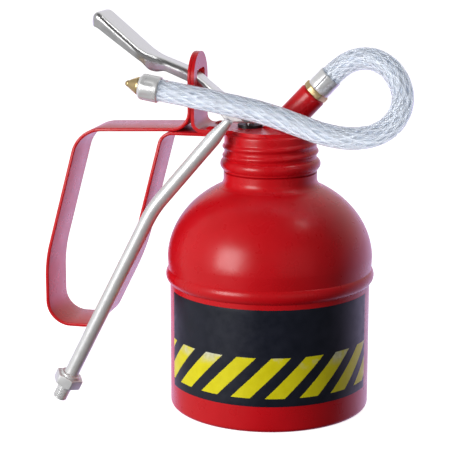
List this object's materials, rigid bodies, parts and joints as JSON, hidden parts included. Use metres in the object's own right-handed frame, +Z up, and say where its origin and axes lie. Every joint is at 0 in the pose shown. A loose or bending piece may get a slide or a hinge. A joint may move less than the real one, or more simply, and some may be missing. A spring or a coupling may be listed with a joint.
{
  "type": "oil can",
  "caption": "Thumb-lever pump oil can: domed painted can, screw cap with pump, strip loop handle, clear hose with cone nozzle and a loose bent rigid spout.",
  "frame": {"origin": "centre of the flat bottom of the can, on the surface it stands on", "axes": "+Z up along the can's axis, the loop handle towards -X, the outlet tube towards +X, the hose and the loose spout on the -Y side"},
  "size_m": [0.1624, 0.0908, 0.1714],
  "materials": {
    "red_paint": "semi-gloss powder coat",
    "label_print": "printed film with yellow stripes",
    "satin_nickel": "bright satin nickel plate",
    "polished_nickel": "polished nickel plate",
    "satin_zinc": "satin zinc plate",
    "polished_steel": "ground steel",
    "pump_metal": "as cast",
    "brass": "turned brass",
    "clear_hose": "clear braided plastic",
    "black_plastic": "moulded",
    "black_rubber": "matte"
  },
  "bodies": {
    "can": {"can_base": "red_paint", "can_dome": "red_paint", "label": "label_print"},
    "pump": {"screw_cap": "red_paint", "cap_gasket": "black_rubber", "pump_head": "pump_metal", "gland_nut": "black_plastic", "rod_seal": "black_rubber", "lever_bracket": "red_paint", "handle_strip": "red_paint", "handle_rivets": "red_paint", "pump_barrel": "brass", "foot_valve_body": "brass", "suction_tube": "black_plastic", "strainer": "brass", "return_spring": "polished_steel", "outlet_tube": "red_paint", "hose_adapter": "brass", "hose_ferrule": "polished_nickel", "hose": "clear_hose", "nozzle_ferrule": "polished_nickel", "nozzle": "brass"},
    "lever": {"thumb_lever": "satin_nickel"},
    "piston": {"piston_rod": "polished_steel", "rod_head": "polished_steel", "lever_pin": "polished_steel", "piston": "brass", "piston_cup": "black_rubber", "cup_retainer": "polished_steel"},
    "foot_ball": {"foot_valve_ball": "polished_steel"},
    "top_ball": {"outlet_ball": "polished_steel"},
    "spout": {"spout_tube": "satin_zinc", "spout_connector": "satin_zinc"}
  },
  "joints": [
    {"name": "cap_lift", "type": "slide", "parent": "can", "child": "pump", "axis": [0, 0, 1], "range_m": [0, 0.12]},
    {"name": "lever_hinge", "type": "hinge", "parent": "pump", "child": "lever", "pos_m": [-0.0323, 0, 0.1413], "axis": [0, -1, 0], "range_deg": [0, 18], "stiffness_Nm_per_rad": 0.15, "springref_deg": -20.05},
    {"name": "piston_slide", "type": "slide", "parent": "pump", "child": "piston", "axis": [0, 0, 1], "range_m": [0, 0.009], "deforming": ["return_spring"]},
    {"name": "foot_ball_lift", "type": "slide", "parent": "pump", "child": "foot_ball", "axis": [0, 0, 1], "range_m": [0, 0.0012]},
    {"name": "top_ball_lift", "type": "slide", "parent": "pump", "child": "top_ball", "axis": [0, 0, 1], "range_m": [0, 0.0015]},
    {"name": "spout_lift_away", "type": "slide", "parent": "can", "child": "spout", "axis": [0, -1, 0], "range_m": [0, 0.06]}
  ],
  "couplings": [
    {"joint": "piston_slide", "follows": "lever_hinge", "m_per_rad": 0.0272}
  ]
}
